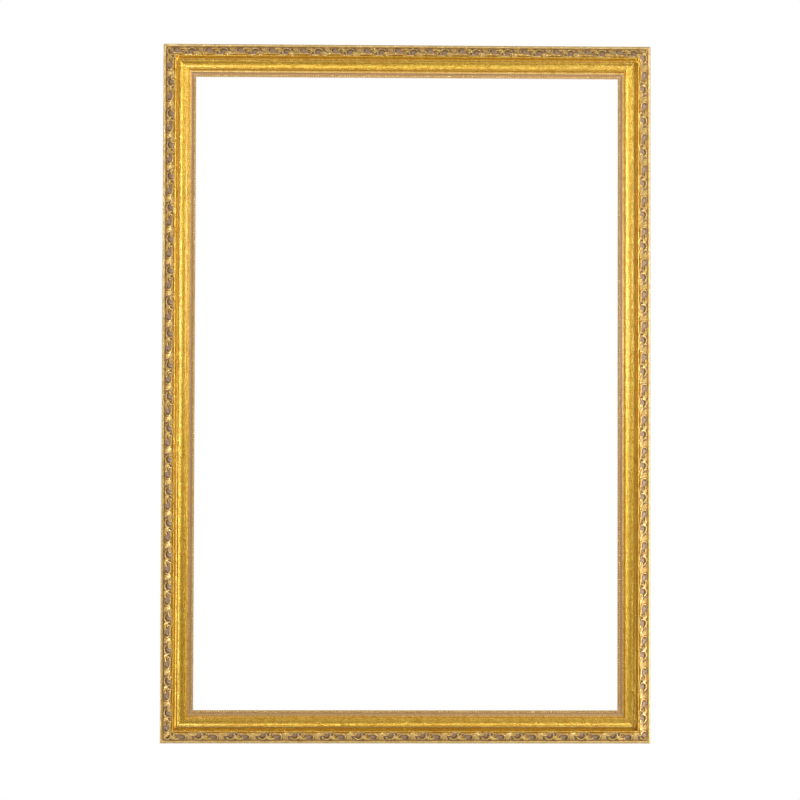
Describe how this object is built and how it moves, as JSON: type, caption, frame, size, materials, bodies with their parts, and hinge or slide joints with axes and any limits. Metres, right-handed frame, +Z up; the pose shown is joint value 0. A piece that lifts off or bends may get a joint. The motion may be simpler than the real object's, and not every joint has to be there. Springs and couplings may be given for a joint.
{
  "type": "picture frame",
  "caption": "Open rectangular gilded picture frame: mitred moulding with leaf scroll ornament, pearl sight edge, rebate, turn buttons and fold-out hanger rings.",
  "frame": {"origin": "on the wall plane, midway between the bars of the two hanger rings", "axes": "+X across the frame to the viewer's right, +Y into the wall, +Z up; the front faces -Y"},
  "size_m": [0.7, 0.0335, 1],
  "materials": {
    "gilded_wood": "gilded front, bare wood back and rebate",
    "gilded_composition": "pressed composition, gilded, brown wash in the hollows",
    "gilded_pearls": "turned half pearls, gilded and washed",
    "nail_steel": "plain",
    "brassed_steel": "brass plated, satin",
    "screw_steel": "zinc plated",
    "hanger_steel": "zinc plated strap",
    "ring_steel": "zinc plated wire",
    "bumper_rubber": "matt"
  },
  "bodies": {
    "frame": {"rail_top": "gilded_wood", "rail_bottom": "gilded_wood", "rail_left": "gilded_wood", "rail_right": "gilded_wood", "ornament_top": "gilded_composition", "ornament_bottom": "gilded_composition", "ornament_left": "gilded_composition", "ornament_right": "gilded_composition", "pearls_top": "gilded_pearls", "pearls_bottom": "gilded_pearls", "pearls_left": "gilded_pearls", "pearls_right": "gilded_pearls", "corner_nails_top_left": "nail_steel", "corner_nails_top_right": "nail_steel", "corner_nails_bottom_left": "nail_steel", "corner_nails_bottom_right": "nail_steel", "turn_button_screws": "screw_steel", "hanger_strap_left": "hanger_steel", "hanger_strap_right": "hanger_steel", "hanger_screws": "screw_steel", "wall_bumper_left": "bumper_rubber", "wall_bumper_right": "bumper_rubber"},
    "turn_button_top_left": {"turn_button_top_left": "brassed_steel"},
    "turn_button_top_right": {"turn_button_top_right": "brassed_steel"},
    "turn_button_bottom_left": {"turn_button_bottom_left": "brassed_steel"},
    "turn_button_bottom_right": {"turn_button_bottom_right": "brassed_steel"},
    "turn_button_left_upper": {"turn_button_left_upper": "brassed_steel"},
    "turn_button_left_lower": {"turn_button_left_lower": "brassed_steel"},
    "turn_button_right_upper": {"turn_button_right_upper": "brassed_steel"},
    "turn_button_right_lower": {"turn_button_right_lower": "brassed_steel"},
    "ring_left": {"hanger_ring_left": "ring_steel"},
    "ring_right": {"hanger_ring_right": "ring_steel"}
  },
  "joints": [
    {"name": "turn_button_top_left_turn", "type": "hinge", "parent": "frame", "child": "turn_button_top_left", "pos_m": [-0.2, -0.0034, 0.215], "axis": [0, 1, 0], "continuous": true},
    {"name": "turn_button_top_right_turn", "type": "hinge", "parent": "frame", "child": "turn_button_top_right", "pos_m": [0.2, -0.0034, 0.215], "axis": [0, 1, 0], "continuous": true},
    {"name": "turn_button_bottom_left_turn", "type": "hinge", "parent": "frame", "child": "turn_button_bottom_left", "pos_m": [-0.2, -0.0034, -0.715], "axis": [0, 1, 0], "continuous": true},
    {"name": "turn_button_bottom_right_turn", "type": "hinge", "parent": "frame", "child": "turn_button_bottom_right", "pos_m": [0.2, -0.0034, -0.715], "axis": [0, 1, 0], "continuous": true},
    {"name": "turn_button_left_upper_turn", "type": "hinge", "parent": "frame", "child": "turn_button_left_upper", "pos_m": [-0.315, -0.0034, 0.08], "axis": [0, 1, 0], "continuous": true},
    {"name": "turn_button_left_lower_turn", "type": "hinge", "parent": "frame", "child": "turn_button_left_lower", "pos_m": [-0.315, -0.0034, -0.58], "axis": [0, 1, 0], "continuous": true},
    {"name": "turn_button_right_upper_turn", "type": "hinge", "parent": "frame", "child": "turn_button_right_upper", "pos_m": [0.315, -0.0034, 0.08], "axis": [0, 1, 0], "continuous": true},
    {"name": "turn_button_right_lower_turn", "type": "hinge", "parent": "frame", "child": "turn_button_right_lower", "pos_m": [0.315, -0.0034, -0.58], "axis": [0, 1, 0], "continuous": true},
    {"name": "ring_left_fold", "type": "hinge", "parent": "frame", "child": "ring_left", "pos_m": [-0.324, -0.00212, 0], "axis": [0, 0, 1], "range_deg": [0, 170]},
    {"name": "ring_right_fold", "type": "hinge", "parent": "frame", "child": "ring_right", "pos_m": [0.324, -0.00212, 0], "axis": [0, 0, -1], "range_deg": [0, 170]}
  ]
}
